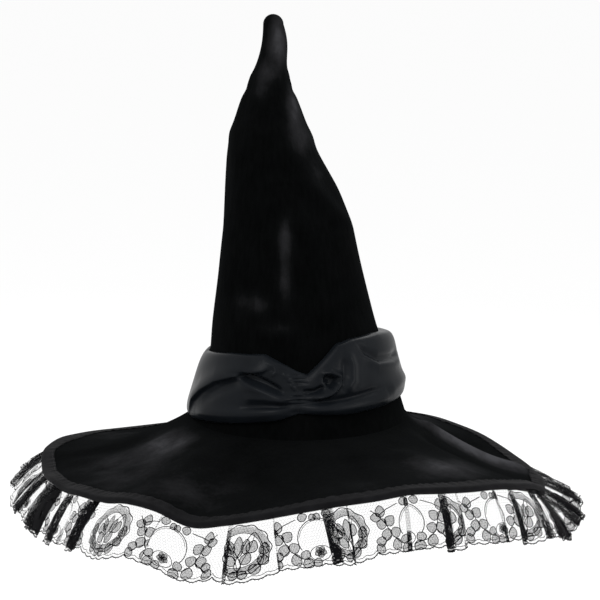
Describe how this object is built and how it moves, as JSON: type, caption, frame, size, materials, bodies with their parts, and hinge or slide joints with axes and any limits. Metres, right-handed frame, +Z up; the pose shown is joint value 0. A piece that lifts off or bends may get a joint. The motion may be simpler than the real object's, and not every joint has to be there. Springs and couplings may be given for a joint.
{
  "type": "witch hat",
  "caption": "Tall pointed witch hat with a crooked tip, a gathered satin band, a wired drooping brim bound in tape and a gathered lace edge.",
  "frame": {"origin": "middle of the head opening, at the height of the seam between crown and brim", "axes": "+Z up the crown, -Y towards the front where the band is pinched, +X to the wearer's left"},
  "size_m": [0.5494, 0.5093, 0.4931],
  "materials": {
    "velvet": "short-pile velvet, near black with a soft grey sheen",
    "buckram": "stiffened woven interlining",
    "lining": "thin smooth lining cloth",
    "underbrim": "plain black woven cloth, matt",
    "wadding": "loose fibre filling",
    "wire": "annealed steel wire",
    "binding": "bias tape, charcoal black, matt",
    "lace": "fine black machine lace",
    "satin": "charcoal black satin with a bright soft shine",
    "thread": "sewing thread",
    "sweatband": "ribbed black ribbon, matt"
  },
  "bodies": {
    "hat_base": {"crown_velvet_lower": "velvet", "crown_interlining_lower": "buckram", "crown_back_seam_lower": "velvet", "crown_lining_lower": "lining", "sweatband": "sweatband", "crown_brim_seam": "velvet", "brim_velvet_centre": "velvet", "brim_stiffener_centre": "buckram", "brim_facing_centre": "underbrim", "brim_wire_centre": "wire", "brim_binding_centre": "binding", "lace_front": "lace", "lace_back": "lace", "satin_band": "satin", "satin_band_back_join": "satin", "band_front_tack": "thread", "band_side_tacks": "thread"},
    "crown_upper": {"crown_velvet_upper": "velvet", "crown_interlining_upper": "buckram", "crown_back_seam_upper": "velvet", "crown_lining_upper": "lining", "crown_top_wadding": "wadding", "crown_top_wire": "wire"},
    "crown_tip": {"crown_velvet_tip": "velvet", "tip_wadding": "wadding", "tip_wire": "wire"},
    "brim_left": {"brim_velvet_left": "velvet", "brim_stiffener_left": "buckram", "brim_facing_left": "underbrim", "brim_wire_left": "wire", "brim_binding_left": "binding", "lace_left": "lace"},
    "brim_right": {"brim_velvet_right": "velvet", "brim_stiffener_right": "buckram", "brim_facing_right": "underbrim", "brim_wire_right": "wire", "brim_binding_right": "binding", "lace_right": "lace"}
  },
  "joints": [
    {"name": "crown_lean", "type": "hinge", "parent": "hat_base", "child": "crown_upper", "pos_m": [-0.0105, 0, 0.19], "axis": [0, 1, 0], "range_deg": [-15, 25]},
    {"name": "tip_bend", "type": "hinge", "parent": "crown_upper", "child": "crown_tip", "pos_m": [-0.0264, 0, 0.322], "axis": [0, 1, 0], "range_deg": [-30, 30]},
    {"name": "brim_left_turn_up", "type": "hinge", "parent": "hat_base", "child": "brim_left", "pos_m": [-0.145, 0, -0.014], "axis": [0, 1, 0], "range_deg": [0, 35]},
    {"name": "brim_right_turn_up", "type": "hinge", "parent": "hat_base", "child": "brim_right", "pos_m": [0.145, 0, -0.017], "axis": [0, -1, 0], "range_deg": [0, 35]}
  ]
}
